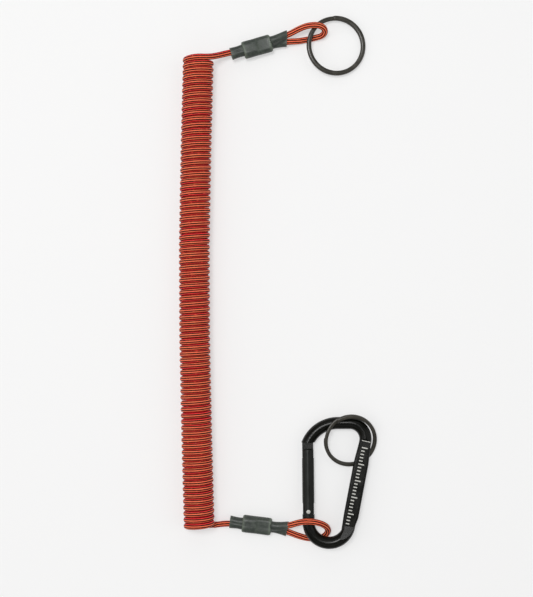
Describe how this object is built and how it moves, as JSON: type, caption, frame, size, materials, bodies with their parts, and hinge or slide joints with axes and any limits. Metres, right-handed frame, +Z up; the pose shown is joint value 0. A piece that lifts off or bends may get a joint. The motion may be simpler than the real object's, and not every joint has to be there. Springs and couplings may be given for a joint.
{
  "type": "coiled tool tether",
  "caption": "Retractable coiled cord tether with crimped, sleeved end loops: a split ring at one end and a snap hook with a sprung gate and a belt ring at the other.",
  "frame": {"origin": "on the ground under the middle of the box round the rings, hook and sleeves, the free coil left out", "axes": "+Y along the tether from the snap hook's end to the split ring's end, +X from the coil towards the hardware, +Z up from the ground it lies on"},
  "size_m": [0.1187, 0.3193, 0.0188],
  "materials": {
    "orange_cord": "braided orange-red cord under a clear skin, with thin black tracers",
    "ferrule_metal": "plain drawn",
    "shrink_tube": "dark heat-shrunk tube with a soft sheen",
    "ring_steel": "black oxide, smooth",
    "black_alloy": "satin black anodised",
    "bright_steel": "plain",
    "brass": "plain"
  },
  "bodies": {
    "lanyard_lower_end": {"coil_cord": "orange_cord", "lower_leader_cord": "orange_cord", "lower_ferrule": "ferrule_metal", "lower_shrink_sleeve": "shrink_tube", "lower_loop_cord": "orange_cord"},
    "upper_end": {"upper_leader_cord": "orange_cord", "upper_ferrule": "ferrule_metal", "upper_shrink_sleeve": "shrink_tube", "upper_loop_cord": "orange_cord"},
    "tool_ring": {"tool_split_ring": "ring_steel"},
    "carabiner": {"carabiner_frame": "black_alloy"},
    "gate": {"carabiner_gate": "black_alloy", "gate_hinge_rivet": "bright_steel", "gate_latch_pin": "bright_steel", "gate_spring": "bright_steel"},
    "plunger": {"gate_plunger": "brass"},
    "belt_ring": {"belt_split_ring": "ring_steel"}
  },
  "joints": [
    {"name": "coil_stretch", "type": "slide", "parent": "lanyard_lower_end", "child": "upper_end", "axis": [0, 1, 0], "range_m": [0, 1.2], "stiffness_N_per_m": 12, "deforming": ["coil_cord"]},
    {"name": "tool_ring_swing", "type": "hinge", "parent": "upper_end", "child": "tool_ring", "pos_m": [0.0053, 0.1502, 0.0055], "axis": [-0.5501, -0.8351, 0], "range_deg": [0, 75]},
    {"name": "carabiner_swing", "type": "hinge", "parent": "lanyard_lower_end", "child": "carabiner", "pos_m": [0.00305, -0.137, 0.00665], "axis": [0.0074, -0.9978, 0.0662], "range_deg": [0, 75]},
    {"name": "gate_swing", "type": "hinge", "parent": "carabiner", "child": "gate", "pos_m": [0.00305, -0.137, 0.00665], "axis": [0.046, -0.0658, -0.9968], "range_deg": [0, 28], "stiffness_Nm_per_rad": 0.12, "springref_deg": -28.65, "deforming": ["gate_spring"]},
    {"name": "plunger_slide", "type": "slide", "parent": "gate", "child": "plunger", "axis": [-0.0074, 0.9978, -0.0662], "range_m": [0, 0.00092]},
    {"name": "belt_ring_swing", "type": "hinge", "parent": "carabiner", "child": "belt_ring", "pos_m": [0.03096, -0.10612, 0.00349], "axis": [0.1919, 0.9798, -0.0558], "range_deg": [0, 36.6]}
  ],
  "couplings": [
    {"joint": "plunger_slide", "follows": "gate_swing", "m_per_rad": 0.00185},
    {"joint": "belt_ring_swing", "follows": "gate_swing", "ratio": 1.3}
  ]
}
